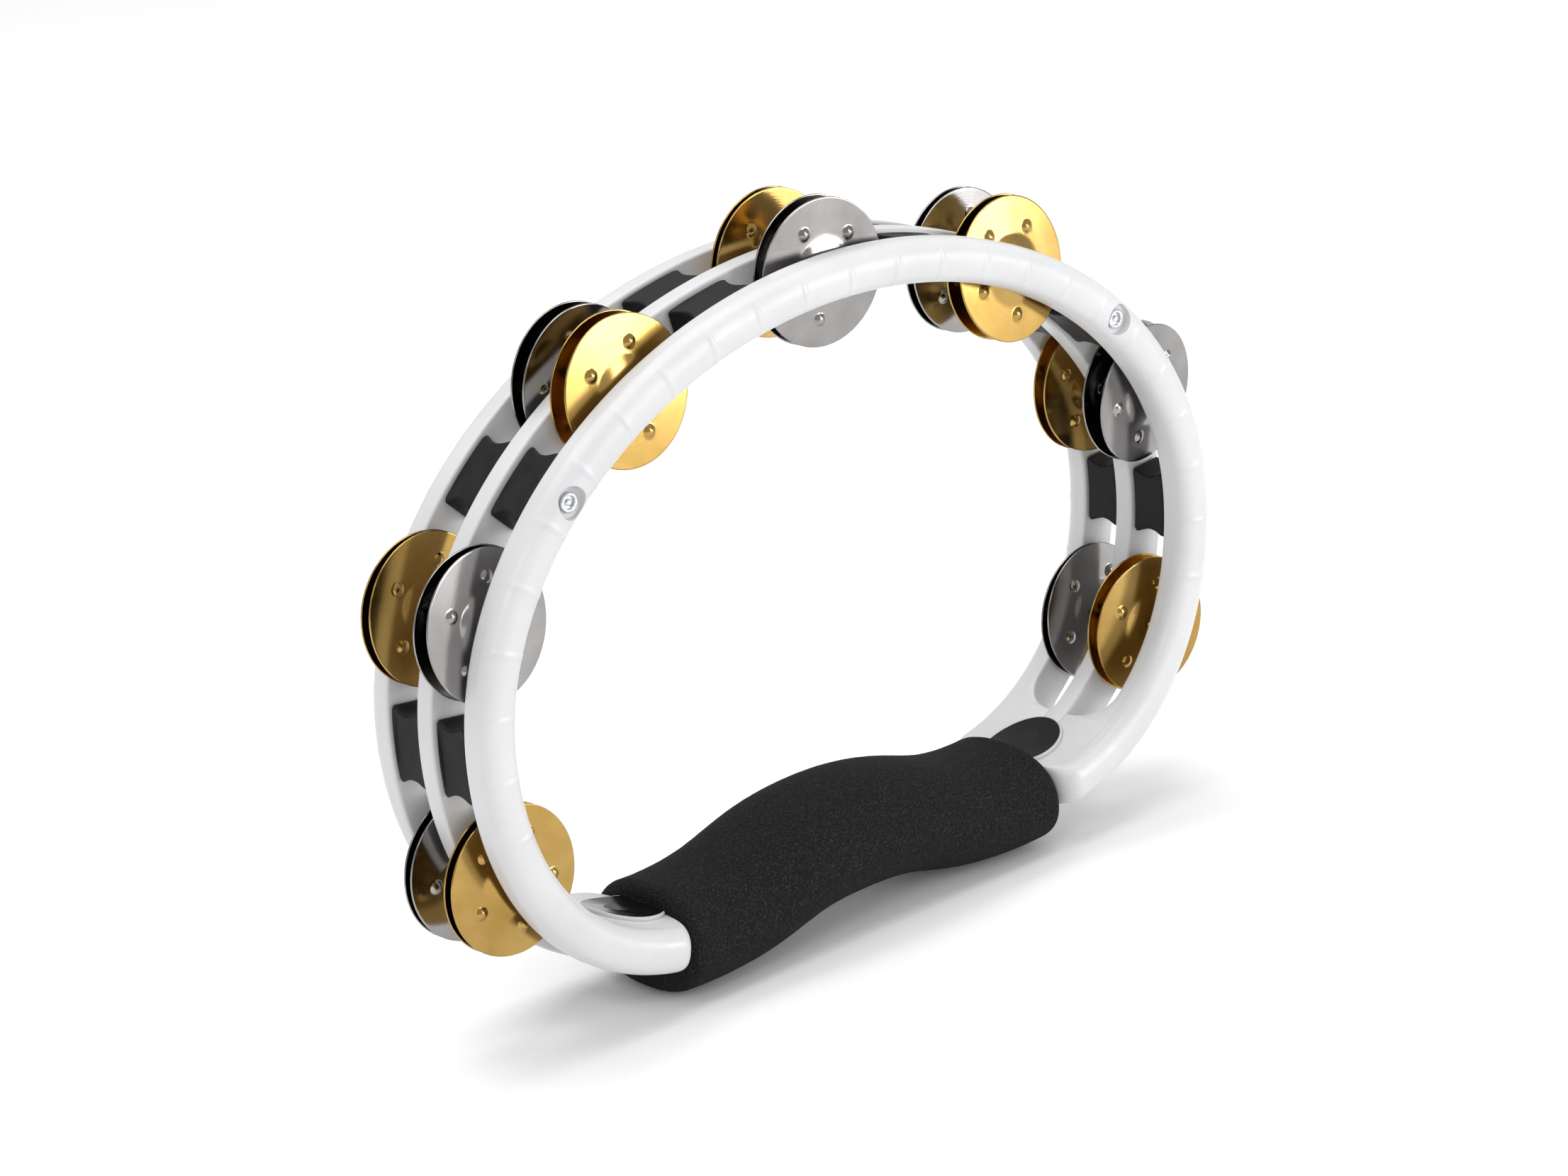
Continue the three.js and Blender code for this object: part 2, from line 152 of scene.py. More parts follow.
# How finely the shapes are divided: counts, and radii of a disc's rings in millimetres
ARCH_STEPS = 1200
CURVE_STEPS = 800
ARC_POINTS = 5
CROWN_START_ANGLE = 3
CROWN_POINTS = 31
RIB_STATIONS = 9
ARCH_STATIONS = 111
SLOT_END_STATIONS = 19
SOLID_END_STATIONS = 12
SHOULDER_STATIONS = 15
UNDER_GRIP_STATIONS = 28
BELL_STATIONS = (3.0, 4.0, 5.0, 6.0, 6.8, 7.6, 8.2, 8.6, 9.0, 9.4)
CONE_STATIONS = (15, 16.5, 18, 18.6)
BUMP_STATIONS = 13
BETWEEN_BUMP_STATIONS = 9
SPACER_SIDE_SHARE = 0.8
SPACER_SIDE_POINTS = 9
SPACER_END_POINTS = 21
BADGE_POINTS = 96
GRIP_POINTS = 150
GRIP_BODY_STATIONS = 76
GRIP_NOSE_STATIONS = 12
GRIP_BORE_STATIONS = 60

# Edges sharper than this, in degrees, stay sharp, unless a piece says its own angle
SHARP_ANGLE = 40

# Where each disc's first bump stands, in degrees from +X towards +Z
BUMP_PHASES = {
    "front_fore": (62, 10, 5, 45, 53, 42, 4),
    "front_aft": (10, 58, 33, 0, 47, 21, 66),
    "back_fore": (44, 69, 34, 53, 3, 12, 57),
    "back_aft": (25, 70, 8, 40, 55, 13, 31),
}


# ---- Centreline ----

def bezier(p0, p1, p2, p3, t):
    """Points and derivatives of a cubic at the values t."""
    p0, p1, p2, p3 = (np.array(p, float) for p in (p0, p1, p2, p3))
    t = t[:, None]
    u = 1 - t
    point = u**3 * p0 + 3 * u * u * t * p1 + 3 * u * t * t * p2 + t**3 * p3
    slope = 3 * u * u * (p1 - p0) + 6 * u * t * (p2 - p1) + 3 * t * t * (p3 - p2)
    return point, slope


def half_ring():
    """Arc lengths, points and unit tangents down the right side, from the top to the bottom middle.

    The last value is the arc length from the corner's end to the bottom middle.
    """
    turn = np.linspace(0, math.pi / 2, ARCH_STEPS)
    arch = np.stack([ARCH_HALF_WIDTH * np.sin(turn), ARCH_FOOT_Z + ARCH_RISE * np.cos(turn)], 1)
    arch_slope = np.stack([ARCH_HALF_WIDTH * np.cos(turn), -ARCH_RISE * np.sin(turn)], 1)
    t = np.linspace(0, 1, CURVE_STEPS)[1:]
    corner, corner_slope = bezier(
        (ARCH_HALF_WIDTH, ARCH_FOOT_Z),
        (ARCH_HALF_WIDTH, ARCH_FOOT_Z - CORNER_SIDE_PULL),
        (CORNER_X + CORNER_BASE_PULL, CORNER_Z),
        (CORNER_X, CORNER_Z),
        t,
    )
    base, base_slope = bezier(
        (CORNER_X, CORNER_Z),
        (CORNER_X / 2, CORNER_Z),
        (CORNER_X / 2, BOTTOM_MIDDLE_Z),
        (0, BOTTOM_MIDDLE_Z),
        t,
    )
    points = np.concatenate([arch, corner, base])
    slopes = np.concatenate([arch_slope, corner_slope, base_slope])
    steps = np.linalg.norm(np.diff(points, axis=0), axis=1)
    run = np.concatenate([[0], np.cumsum(steps)])
    corner_run = run[-1] - run[ARCH_STEPS + CURVE_STEPS - 2]
    return run, points, slopes / np.linalg.norm(slopes, axis=1)[:, None], corner_run


RUN, RING_POINTS, RING_TANGENTS, CORNER_RUN = half_ring()
HALF_LENGTH = RUN[-1]


def on_bar(s, outward, y):
    """Points at distance s from the top (right is positive), outward of the centreline, at Y y."""
    s, outward, y = np.broadcast_arrays(*(np.asarray(v, float) for v in (s, outward, y)))
    along = np.abs(s)
    side = np.where(s < 0, -1.0, 1.0)
    x = np.interp(along, RUN, RING_POINTS[:, 0])
    z = np.interp(along, RUN, RING_POINTS[:, 1])
    tangent_x = np.interp(along, RUN, RING_TANGENTS[:, 0])
    tangent_z = np.interp(along, RUN, RING_TANGENTS[:, 1])
    return np.stack([side * (x - tangent_z * outward), y, z + tangent_x * outward], -1)


def pair_place(number):
    """Distance from the ring's top to a pair of jingles; the pairs count from left to right."""
    return (number - (PAIR_COUNT + 1) / 2) * PAIR_PITCH


def smoothstep(low, high, value):
    """An even ease from 0 at low to 1 at high."""
    t = np.clip((np.asarray(value, float) - low) / (high - low), 0, 1)
    return t * t * (3 - 2 * t)


# ---- Mesh helpers ----

def grid_faces(rows, columns, close_rows=False):
    """Quads over a grid of points kept row by row; every row is closed."""
    faces = []
    for row in range(rows if close_rows else rows - 1):
        below = (row + 1) % rows
        for column in range(columns):
            beside = (column + 1) % columns
            faces.append((
                row * columns + column,
                row * columns + beside,
                below * columns + beside,
                below * columns + column,
            ))
    return faces


def stack(rings):
    """Points and faces of a closed shape through a stack of rings, capped at both ends."""
    points = np.concatenate(rings)
    count = len(rings[0])
    faces = grid_faces(len(rings), count)
    faces.append(tuple(range(count)))
    faces.append(tuple(reversed(range((len(rings) - 1) * count, len(points)))))
    return points, faces


def signed_volume(points, faces):
    """The volume that the faces enclose, positive when they point out."""
    total = 0.0
    for face in faces:
        origin = points[face[0]]
        for i in range(1, len(face) - 1):
            total += np.dot(origin, np.cross(points[face[i]], points[face[i + 1]]))
    return total / 6


def make(name, points, faces, sharp=SHARP_ANGLE):
    """A closed mesh object from millimetre points, smooth but for edges sharper than the angle."""
    if signed_volume(points, faces) < 0:
        faces = [tuple(reversed(face)) for face in faces]
    mesh = bpy.data.meshes.new(name)
    mesh.from_pydata((points * MM).tolist(), [], faces)
    obj = bpy.data.objects.new(name, mesh)
    bpy.context.scene.collection.objects.link(obj)
    smooth(obj, sharp)
    return obj


def smooth(obj, sharp):
    """Smooth shading, but for edges sharper than the angle in degrees."""
    obj.data.polygons.foreach_set("use_smooth", [True] * len(obj.data.polygons))
    obj.data.set_sharp_from_angle(angle=math.radians(sharp))
    obj.data.update()


def finish_piece(obj, material, nodes, body="root"):
    """Gives a piece its material and body, and hides the CAD nodes that it stands for."""
    obj.data.materials.clear()
    obj.data.materials.append(material)
    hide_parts(*nodes)
    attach(obj, body)


def lathe(outline, centre, segments):
    """Points and faces of a closed shape turned about Y; the outline is a list of (radius, y)."""
    turns = np.linspace(0, 2 * math.pi, segments, endpoint=False)
    points = [np.array([centre[0], outline[0][1], centre[1]])]
    for radius, y in outline[1:-1]:
        for turn in turns:
            points.append(np.array([
                centre[0] + radius * math.cos(turn), y, centre[1] + radius * math.sin(turn),
            ]))
    points.append(np.array([centre[0], outline[-1][1], centre[1]]))
    rows = len(outline) - 2
    faces = [tuple(1 + v for v in face) for face in grid_faces(rows, segments)]
    last = len(points) - 1
    for i in range(segments):
        j = (i + 1) % segments
        faces.append((0, 1 + j, 1 + i))
        faces.append((last, 1 + (rows - 1) * segments + i, 1 + (rows - 1) * segments + j))
    return np.array(points), faces


def carve(obj, tools):
    """Cuts the tools out of obj, and removes them."""
    for tool in tools:
        modifier = obj.modifiers.new("cut", "BOOLEAN")
        modifier.operation = "DIFFERENCE"
        modifier.solver = "EXACT"
        modifier.object = tool
    evaluated = obj.evaluated_get(bpy.context.evaluated_depsgraph_get())
    mesh = bpy.data.meshes.new_from_object(evaluated)
    obj.modifiers.clear()
    obj.data = mesh
    for tool in tools:
        bpy.data.objects.remove(tool)
    smooth(obj, SHARP_ANGLE)


# ---- Materials ----

# A Mix node's sockets when it mixes colours: factor, first colour, second colour, and the result
MIX_COLOUR_INPUTS = (0, 6, 7)
MIX_COLOUR_OUTPUT = 2

# The values that most of a noise texture lies between
NOISE_LOW = 0.3
NOISE_HIGH = 0.7


def shader(name, roughness, metallic=0.0, specular=0.5):
    material = bpy.data.materials.new(name)
    material.use_nodes = True
    principled = material.node_tree.nodes["Principled BSDF"]
    principled.inputs["Roughness"].default_value = roughness
    principled.inputs["Metallic"].default_value = metallic
    principled.inputs["Specular IOR Level"].default_value = specular
    return material, principled


def add_node(material, kind, **values):
    node = material.node_tree.nodes.new(kind)
    for name, value in values.items():
        if name in node.inputs:
            node.inputs[name].default_value = value
        else:
            setattr(node, name, value)
    return node


def link(material, source, target):
    material.node_tree.links.new(source, target)


def noise_from(material, place, scale, detail, rough=0.55):
    texture = add_node(material, "ShaderNodeTexNoise", Scale=scale, Detail=detail, Roughness=rough)
    link(material, place, texture.inputs["Vector"])
    return texture.outputs["Fac"]


def ramp(material, value, stops):
    node = add_node(material, "ShaderNodeValToRGB")
    elements = node.color_ramp.elements
    while len(elements) < len(stops):
        elements.new(0.5)
    for element, (place, colour) in zip(elements, stops):
        element.position = place
        element.color = (*colour, 1)
    link(material, value, node.inputs["Fac"])
    return node.outputs["Color"]


def to_range(material, value, low, high):
    """Spreads a noise value over low to high."""
    node = add_node(material, "ShaderNodeMapRange")
    node.inputs["From Min"].default_value = NOISE_LOW
    node.inputs["From Max"].default_value = NOISE_HIGH
    node.inputs["To Min"].default_value = low
    node.inputs["To Max"].default_value = high
    link(material, value, node.inputs["Value"])
    return node.outputs["Result"]


def bump(material, principled, value, strength, distance):
    node = add_node(material, "ShaderNodeBump", Strength=strength, Distance=distance)
    link(material, value, node.inputs["Height"])
    link(material, node.outputs["Normal"], principled.inputs["Normal"])


def place_of(material):
    return add_node(material, "ShaderNodeTexCoord").outputs["Object"]


def white_plastic():
    material, principled = shader("white_plastic", 0.34, specular=0.45)
    place = place_of(material)
    tone = noise_from(material, place, 38, detail=4)
    colour = ramp(material, tone, [(0.3, (0.585, 0.585, 0.59)), (0.7, (0.635, 0.635, 0.64))])
    link(material, colour, principled.inputs["Base Color"])
    wear = noise_from(material, place, 160, detail=5)
    link(material, to_range(material, wear, 0.27, 0.42), principled.inputs["Roughness"])
    grain = noise_from(material, place, 1400, detail=2)
    bump(material, principled, grain, 0.12, 0.00004)
    return material


def black_plastic():
    material, principled = shader("black_plastic", 0.5, specular=0.16)
    place = place_of(material)
    tone = noise_from(material, place, 240, detail=5)
    colour = ramp(material, tone, [(0.35, (0.006, 0.006, 0.006)), (0.7, (0.012, 0.012, 0.012))])
    link(material, colour, principled.inputs["Base Color"])
    link(material, to_range(material, tone, 0.38, 0.6), principled.inputs["Roughness"])
    grain = noise_from(material, place, 2600, detail=2)
    bump(material, principled, grain, 0.3, 0.00006)
    return material


def gloss_badge():
    material, principled = shader("gloss_badge", 0.12, specular=0.16)
    place = place_of(material)
    tone = noise_from(material, place, 90, detail=3)
    colour = ramp(material, tone, [(0.3, (0.004, 0.004, 0.004)), (0.7, (0.008, 0.008, 0.009))])
    rim = add_node(material, "ShaderNodeAttribute", attribute_name="rim")
    line = add_node(material, "ShaderNodeMix", data_type="RGBA")
    factor, face_colour, rim_colour = (line.inputs[i] for i in MIX_COLOUR_INPUTS)
    rim_colour.default_value = (0.55, 0.55, 0.55, 1)
    link(material, rim.outputs["Fac"], factor)
    link(material, colour, face_colour)
    link(material, line.outputs[MIX_COLOUR_OUTPUT], principled.inputs["Base Color"])
    haze = noise_from(material, place, 300, detail=5)
    link(material, to_range(material, haze, 0.07, 0.2), principled.inputs["Roughness"])
    return material


def foam_grip():
    material, principled = shader("foam_grip", 0.9, specular=0.1)
    place = place_of(material)
    cells = add_node(material, "ShaderNodeTexVoronoi", Scale=1500.0)
    link(material, place, cells.inputs["Vector"])
    tone = noise_from(material, place, 1900, detail=3, rough=0.7)
    colour = ramp(material, tone, [
        (0.30, (0.004, 0.004, 0.004)),
        (0.50, (0.011, 0.011, 0.011)),
        (0.62, (0.024, 0.024, 0.024)),
        (0.76, (0.070, 0.070, 0.070)),
    ])
    link(material, colour, principled.inputs["Base Color"])
    link(material, to_range(material, tone, 0.75, 0.95), principled.inputs["Roughness"])
    bump(material, principled, cells.outputs["Distance"], 0.8, 0.0004)
    return material


def metal(name, dark, light, roughness_range, grain_strength):
    material, principled = shader(name, 0.15, metallic=1.0)
    place = place_of(material)
    tone = noise_from(material, place, 55, detail=5)
    colour = ramp(material, tone, [(0.32, dark), (0.68, light)])
    link(material, colour, principled.inputs["Base Color"])
    smear = noise_from(material, place, 130, detail=6, rough=0.65)
    low, high = roughness_range
    link(material, to_range(material, smear, low, high), principled.inputs["Roughness"])
    radius = add_node(material, "ShaderNodeAttribute", attribute_name="radius")
    rings = add_node(material, "ShaderNodeTexNoise", Scale=3.2, Detail=4.0)
    rings.noise_dimensions = "1D"
    link(material, radius.outputs["Fac"], rings.inputs["W"])
    bump(material, principled, rings.outputs["Fac"], grain_strength, 0.00006)
    return material


def hardware():
    material, principled = shader("steel_hardware", 0.18, metallic=1.0)
    place = place_of(material)
    tone = noise_from(material, place, 700, detail=4)
    colour = ramp(material, tone, [(0.3, (0.55, 0.56, 0.58)), (0.7, (0.74, 0.75, 0.77))])
    link(material, colour, principled.inputs["Base Color"])
    link(material, to_range(material, tone, 0.12, 0.26), principled.inputs["Roughness"])
    return material


WHITE = white_plastic()
BLACK = black_plastic()
BADGE = gloss_badge()
FOAM = foam_grip()
BRASS = metal("brass_jingle", (0.36, 0.22, 0.055), (0.50, 0.33, 0.11), (0.11, 0.18), 0.15)
STEEL = metal("steel_jingle", (0.25, 0.24, 0.232), (0.36, 0.35, 0.342), (0.09, 0.15), 0.12)
HARDWARE = hardware()


# ---- Frame mouldings ----

def slot_wall(s):
    """Where a rail's inner wall stands: open slot, then a quarter round down to the seam."""
    seam = SEAM_MIDDLE + HAIRLINE
    past = abs(s) - (SLOT_TIP - SLOT_WIDTH)
    if past <= 0:
        return RAIL_WALL
    run = min(past / SLOT_WIDTH, 1)
    return seam + (RAIL_WALL - seam) * math.sqrt(1 - run * run)


def outer_face(s):
    """Where a rail's outer face stands: it drops in a quarter round to the core under the grip."""
    run = (HALF_LENGTH - abs(s) - SHOULDER_START) / (SHOULDER_END - SHOULDER_START)
    rise = math.sqrt(1 - (1 - min(max(run, 0), 1)) ** 2)
    return CORE_FACE + (RAIL_FACE - CORE_FACE) * rise


def rib(s):
    """How far a narrow moulded rib stands up at s: ribs repeat along the arch."""
    nearest = round(s / RIB_PITCH)
    if abs(nearest) > RIBS_EACH_WAY:
        return 0.0
    away = abs(s - nearest * RIB_PITCH) / RIB_HALF_WIDTH
    return 0.5 + 0.5 * math.cos(math.pi * min(away, 1))


def corner_arc(centre_out, centre_y, radius, start, end):
    angles = np.radians(np.linspace(start, end, ARC_POINTS))
    return [(centre_out + radius * math.cos(a), centre_y + radius * math.sin(a)) for a in angles]


def edge_fillet(s):
    """The fillet along an inner edge: it shrinks where the slot ends and the mouldings meet."""
    past_slot = float(smoothstep(SLOT_TIP - SEAM_FADE, SLOT_TIP, abs(s)))
    return OPEN_FILLET + (SEAM_FILLET - OPEN_FILLET) * past_slot


def rail_section(s):
    """Outline across the front or back rail: (outward, distance from the middle plane)."""
    wall = slot_wall(s)
    fillet = edge_fillet(s)
    start = outer_face(s) - RAIL_ROUNDING
    outline = corner_arc(fillet - BAR_HALF, wall + fillet, fillet, 180, 270)
    outline += [(0.0, wall)]
    outline += corner_arc(BAR_HALF - fillet, wall + fillet, fillet, 270, 360)
    outline += [(BAR_HALF, start - CREASE_LEAD), (BAR_HALF - CREASE_DEPTH, start)]
    power = 2 / RAIL_SQUARENESS
    reach = RAIL_ROUNDING - RIB_HEIGHT * (1 - rib(s))
    for angle in np.radians(np.linspace(CROWN_START_ANGLE, 180 - CROWN_START_ANGLE, CROWN_POINTS)):
        across = math.copysign(abs(math.cos(angle)) ** power, math.cos(angle))
        rise = math.sin(angle) ** power
        outline.append((BAR_HALF * across, start + reach * rise))
    outline += [(CREASE_DEPTH - BAR_HALF, start), (-BAR_HALF, start - CREASE_LEAD)]
    return outline


def plate_section(s):
    """Outline across the middle plate: (outward, distance from the middle plane)."""
    past_slot = float(smoothstep(SLOT_TIP - SLOT_WIDTH, SLOT_TIP, abs(s)))
    high = PLATE_HALF_HEIGHT + (BAR_HALF - PLATE_HALF_HEIGHT) * past_slot
    half = PLATE_HALF + (SEAM_MIDDLE - HAIRLINE - PLATE_HALF) * past_slot
    fillet = edge_fillet(s)
    outline = []
    for out_side, y_side, start in ((1, 1, 0), (-1, 1, 90), (-1, -1, 180), (1, -1, 270)):
        centre_out = out_side * (high - fillet)
        centre_y = y_side * (half - fillet)
        outline += corner_arc(centre_out, centre_y, fillet, start, start + 90)
        if start in (0, 180):
            outline.append((0.0, y_side * half))
        else:
            outline.append((out_side * high, 0.0))
    return outline


def frame_stations():
    """Distances from the top round the whole ring, closer together where the section changes."""
    tip_turn = np.radians(np.linspace(0, 90, SLOT_END_STATIONS))
    tip = SLOT_TIP - SLOT_WIDTH + SLOT_WIDTH * np.sin(tip_turn)
    run = 1 - np.cos(np.radians(np.linspace(0, 90, SHOULDER_STATIONS)))
    shoulder = HALF_LENGTH - SHOULDER_START - (SHOULDER_END - SHOULDER_START) * run
    plain = np.concatenate([
        np.linspace(0, SLOT_TIP - SLOT_WIDTH, ARCH_STATIONS),
        np.linspace(SLOT_TIP, HALF_LENGTH - SHOULDER_END, SOLID_END_STATIONS),
        np.linspace(HALF_LENGTH - SHOULDER_START, HALF_LENGTH, UNDER_GRIP_STATIONS),
    ])
    across_rib = RIB_HALF_WIDTH * np.linspace(-1, 1, RIB_STATIONS)
    ribs = np.concatenate([k * RIB_PITCH + across_rib for k in range(RIBS_EACH_WAY + 1)])
    ribs = ribs[ribs >= 0]
    right = np.unique(np.round(np.concatenate([plain, tip, shoulder, ribs]), 3))
    return np.concatenate([right, -right[1:-1][::-1]])


STATIONS = frame_stations()


def loft_bar(name, section, side):
    """A moulding lofted round the whole ring, on the side of the middle plane that side says."""
    rings = []
    for s in STATIONS:
        outline = np.array(section(s))
        rings.append(on_bar(s, outline[:, 0], side * outline[:, 1]))
    points = np.concatenate(rings)
    return make(name, points, grid_faces(len(rings), len(rings[0]), close_rows=True))


def bore(s, radius, low, high):
    """A round tool along Y, from low to high, through the centreline at s."""
    centre = on_bar(s, 0, 0)[[0, 2]]
    outline = [(0, low), (radius, low), (radius, high), (0, high)]
    points, faces = lathe(outline, centre, segments=48)
    return make("bore", points, faces)


def pocket(s):
    """The round recess over a screw, with a small fillet round its floor."""
    centre = on_bar(s, 0, 0)[[0, 2]]
    fillet = POCKET_FILLET
    outline = [(0, -POCKET_FLOOR), (POCKET_RADIUS - fillet, -POCKET_FLOOR)]
    for angle in np.radians((30, 60, 90)):
        outline.append((
            POCKET_RADIUS - fillet + fillet * math.sin(angle),
            -POCKET_FLOOR - fillet + fillet * math.cos(angle),
        ))
    mouth = -RAIL_FACE - TOOL_OVERRUN
    outline += [(POCKET_RADIUS + POCKET_DRAFT, mouth), (0, mouth)]
    points, faces = lathe(outline, centre, segments=72)
    return make("pocket", points, faces)


def build_frame():
    """The three mouldings, with bores for the pins and screws, and pockets over the heads."""
    pairs = [pair_place(number) for number in range(1, PAIR_COUNT + 1)]
    screws = (-SCREW_PLACE, SCREW_PLACE)
    inside = RAIL_WALL - TOOL_OVERRUN
    outside = RAIL_FACE + TOOL_OVERRUN
    plate_bore = PLATE_BORE_HALF_LENGTH

    middle = loft_bar("middle_moulding", plate_section, 1)
    carve(middle, [bore(s, PIN_HOLE, -plate_bore, plate_bore) for s in (*pairs, *screws)])
    finish_piece(middle, WHITE, ["frame_middle"])

    front = loft_bar("front_moulding", rail_section, -1)
    tools = [bore(s, PIN_HOLE, -PIN_HOLE_END, -inside) for s in pairs]
    tools += [bore(s, SCREW_HOLE, -outside, -inside) for s in screws]
    tools += [pocket(s) for s in screws]
    carve(front, tools)
    finish_piece(front, WHITE, ["frame_front"])

    back = loft_bar("back_moulding", rail_section, 1)
    tools = [bore(s, PIN_HOLE, inside, PIN_HOLE_END) for s in pairs]
    tools += [bore(s, SCREW_HOLE, inside, SCREW_HOLE_END) for s in screws]
    carve(back, tools)
    finish_piece(back, WHITE, ["frame_back"])


# ---- Jingles ----

def disc_seat(node):
    """Where a CAD disc's rim plane meets its axis, in millimetres, and the way its bell points."""
    corners = np.array([v.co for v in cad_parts[node].data.vertices], float) / MM
    corners = np.unique(np.round(corners, 4), axis=0)
    centre = corners.mean(0)
    normal = np.linalg.svd(corners - centre, full_matrices=False)[2][2]
    bell_y = -1 if node.endswith("_fore") else 1
    normal *= math.copysign(1, normal[1] * bell_y)
    depth = (corners - centre) @ normal
    return centre + normal * depth.min(), normal


def disc_angles(phase):
    """Angles round a disc, close together at the bumps."""
    near = np.linspace(-BUMP_HALF_SECTOR, BUMP_HALF_SECTOR, BUMP_STATIONS)
    far = np.linspace(BUMP_HALF_SECTOR, BUMP_STEP - BUMP_HALF_SECTOR, BETWEEN_BUMP_STATIONS)[1:-1]
    sector = np.concatenate([near, far])
    return np.radians(np.concatenate([phase + BUMP_STEP * k + sector for k in range(BUMPS)]))


def bump_rise(distance, radius, height):
    """Height of a spherical cap, of a foot radius and height, at a distance from its middle."""
    sphere = (radius**2 + height**2) / (2 * height)
    level = np.sqrt(np.maximum(sphere**2 - np.minimum(distance, radius) ** 2, 0))
    return np.where(distance < radius, level - (sphere - height), 0)


def disc_profile(radius):
    """Height of the sheet's hollow side over the rim plane: a shallow cone and a domed bell."""
    cone = JINGLE_DISH * np.minimum(1, (JINGLE_RADIUS - radius) / (JINGLE_RADIUS - BELL_FOOT))
    inside = 1 - (radius / BELL_FOOT) ** BELL_FULLNESS
    bell = (inside + np.sqrt(inside**2 + BELL_SOFTNESS**2)) / 2
    return cone + (BELL_RISE - JINGLE_DISH) * bell


def disc_side(radii, angles, phase, bump_radius, bump_height, lift):
    """Local points of one side of the sheet: two in the plane and the height."""
    radius, angle = np.meshgrid(radii, angles, indexing="ij")
    u, v = radius * np.cos(angle), radius * np.sin(angle)
    height = disc_profile(radius) + lift
    for k in range(BUMPS):
        turn = math.radians(phase + BUMP_STEP * k)
        away = np.hypot(u - BUMP_PLACE * math.cos(turn), v - BUMP_PLACE * math.sin(turn))
        height = height + bump_rise(away, bump_radius, bump_height)
    return np.stack([u, v, height], -1)


def build_disc(node, name, phase, material):
    """One stamped disc: the sheet's outer and hollow sides, joined at the hole and at the rim."""
    origin, bell = disc_seat(node)
    across = np.array([1.0, 0, 0]) - bell[0] * bell
    across /= np.linalg.norm(across)
    up = np.cross(bell, across)
    up *= math.copysign(1, up[2])
    angles = disc_angles(phase)
    hole = (JINGLE_HOLE, JINGLE_HOLE + HOLE_EDGE_WIDTH)
    near_bump = np.linspace(BUMP_PLACE - BUMP_MARGIN, BUMP_PLACE + BUMP_MARGIN, BUMP_STATIONS)
    rim = JINGLE_RADIUS - RIM_ROUNDING * np.array([1.0, 0.3, 0.0])
    rim_drop = RIM_ROUNDING * np.array([0.0, 0.3, 1.0])
    radii = np.concatenate([hole, BELL_STATIONS, near_bump, CONE_STATIONS, rim])
    outer = disc_side(radii, angles, phase, BUMP_RADIUS, BUMP_HEIGHT, JINGLE_SHEET)
    inner = disc_side(radii, angles, phase, HOLLOW_BUMP_RADIUS, HOLLOW_BUMP_HEIGHT, 0.0)
    for surface, towards_middle in ((outer, -1), (inner, 1)):
        surface[0, :, 2] += towards_middle * HOLE_EDGE_DROP
        surface[-3:, :, 2] += towards_middle * rim_drop[:, None]
    local = np.concatenate([outer, inner[::-1]])
    rows, columns = local.shape[:2]
    flat = local.reshape(-1, 3)
    points = origin + flat[:, :1] * across + flat[:, 1:2] * up + flat[:, 2:] * bell
    disc = make(name, points, grid_faces(rows, columns, close_rows=True), sharp=48)
    # The distance from the axis, for the material's turning marks
    radius = disc.data.attributes.new("radius", "FLOAT", "POINT")
    radius.data.foreach_set("value", np.hypot(flat[:, 0], flat[:, 1]).astype(np.float32))
    finish_piece(disc, material, [node], node)


def build_discs():
    for row in ("front", "back"):
        for number in range(1, PAIR_COUNT + 1):
            is_brass = (number % 2 == 1) == (row == "front")
            material, slot = (BRASS, "brass_jingle") if is_brass else (STEEL, "steel_jingle")
            for half in ("fore", "aft"):
                phase = BUMP_PHASES[f"{row}_{half}"][number - 1]
                node = f"jingle_{row}_{number}_{half}"
                build_disc(node, f"disc_{row}_{number}_{half}", phase, material)


# ---- Pins, screws and spacers ----

def build_pins():
    """Plain steel pins with chamfered ends, through both rows of discs."""
    for number in range(1, PAIR_COUNT + 1):
        centre = on_bar(pair_place(number), 0, 0)[[0, 2]]
        end = PIN_HALF_LENGTH
        chamfer = PIN_CHAMFER
        outline = [
            (0, -end),
            (PIN_RADIUS - chamfer, -end),
            (PIN_RADIUS, chamfer - end),
            (PIN_RADIUS, end - chamfer),
            (PIN_RADIUS - chamfer, end),
            (0, end),
        ]
        points, faces = lathe(outline, centre, segments=32)
        pin = make(f"jingle_pin_{number}", points, faces, sharp=30)
        finish_piece(pin, HARDWARE, [f"pin_{number}"])


def build_screws():
    """Hollow-headed fasteners: a bright flange, a dark annulus and the core's end in the middle."""
    face = SCREW_FACE
    seat = SCREW_SEAT
    core_end = [(0, -face + 0.15), (0.6, -face + 0.17), (0.85, -face + 0.4)]
    annulus = [(0.9, -seat + 0.2), (1.45, -seat + 0.2), (1.55, -face + 0.25)]
    flange = [(1.75, -face), (2.3, -face), (SCREW_HEAD, -face + 0.2), (SCREW_HEAD, -seat)]
    shank = [(SCREW_SHANK, -seat), (SCREW_SHANK, SCREW_TIP), (0, SCREW_TIP)]
    outline = core_end + annulus + flange + shank
    for name, s in (("left", -SCREW_PLACE), ("right", SCREW_PLACE)):
        centre = on_bar(s, 0, 0)[[0, 2]]
        points, faces = lathe(outline, centre, segments=48)
        screw = make(f"clamp_screw_{name}", points, faces, sharp=38)
        finish_piece(screw, HARDWARE, [f"screw_{name}"])


